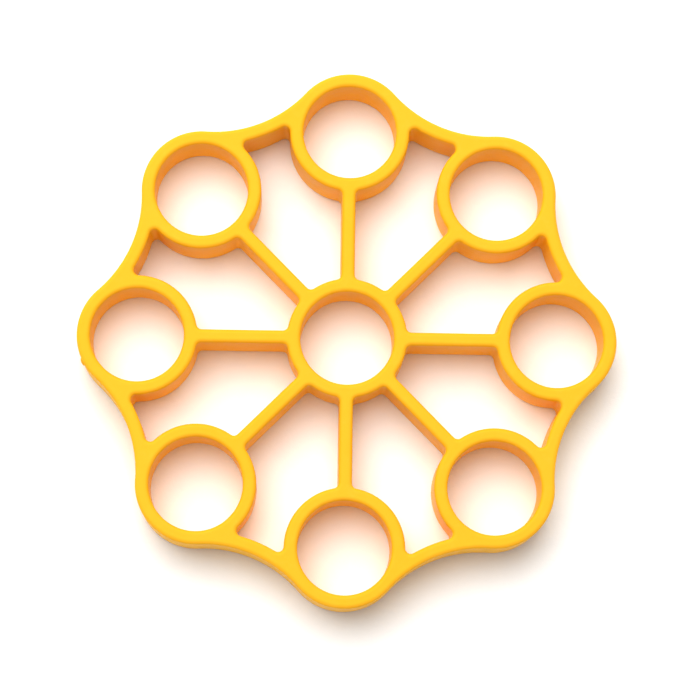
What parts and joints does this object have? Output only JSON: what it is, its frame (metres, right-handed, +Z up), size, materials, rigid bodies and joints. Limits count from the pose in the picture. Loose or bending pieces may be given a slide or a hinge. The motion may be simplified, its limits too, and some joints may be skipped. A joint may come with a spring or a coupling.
{
  "type": "multi-loop juggling ring",
  "caption": "Soft one-piece ring of round finger loops set about a central loop on thin spokes, joined by a scalloped rim, for finger juggling, spinning and stretching.",
  "frame": {"origin": "centre of the underside, on the hub hole's axis", "axes": "+Z up through the hub hole, +X through the centre of the first finger ring"},
  "size_m": [0.1, 0.1, 0.012],
  "materials": {
    "soft_moulding": "satin yellow-orange silicone rubber, plain, with a fine moulded surface"
  },
  "bodies": {
    "root": {"hub_ring": "soft_moulding", "finger_ring_1": "soft_moulding", "finger_ring_2": "soft_moulding", "finger_ring_3": "soft_moulding", "finger_ring_4": "soft_moulding", "finger_ring_5": "soft_moulding", "finger_ring_6": "soft_moulding", "finger_ring_7": "soft_moulding", "finger_ring_8": "soft_moulding", "spoke_1": "soft_moulding", "spoke_2": "soft_moulding", "spoke_3": "soft_moulding", "spoke_4": "soft_moulding", "spoke_5": "soft_moulding", "spoke_6": "soft_moulding", "spoke_7": "soft_moulding", "spoke_8": "soft_moulding", "rim_web_1": "soft_moulding", "rim_web_2": "soft_moulding", "rim_web_3": "soft_moulding", "rim_web_4": "soft_moulding", "rim_web_5": "soft_moulding", "rim_web_6": "soft_moulding", "rim_web_7": "soft_moulding", "rim_web_8": "soft_moulding"}
  },
  "joints": []
}
